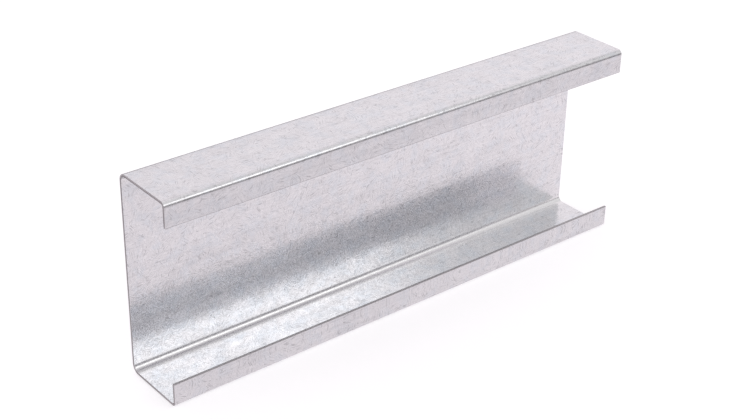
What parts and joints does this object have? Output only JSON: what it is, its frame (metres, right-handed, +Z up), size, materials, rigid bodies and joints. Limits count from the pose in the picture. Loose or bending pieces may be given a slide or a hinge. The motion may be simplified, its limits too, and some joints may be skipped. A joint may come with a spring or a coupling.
{
  "type": "purlin",
  "caption": "Short length of galvanised steel purlin: a cold-formed channel of C section with inturned lips, which spans between rafters and carries roof or wall sheeting.",
  "frame": {"origin": "centre of the underside of the lower flange, which is the centre of the part's base", "axes": "+X along the length, +Y out of the web's back, -Y towards the open side and the lips, +Z up"},
  "size_m": [0.53, 0.07, 0.2],
  "materials": {
    "galvanised_steel": "hot-dip galvanised, fine mottled spangle, satin"
  },
  "bodies": {
    "root": {"purlin": "galvanised_steel"}
  },
  "joints": []
}
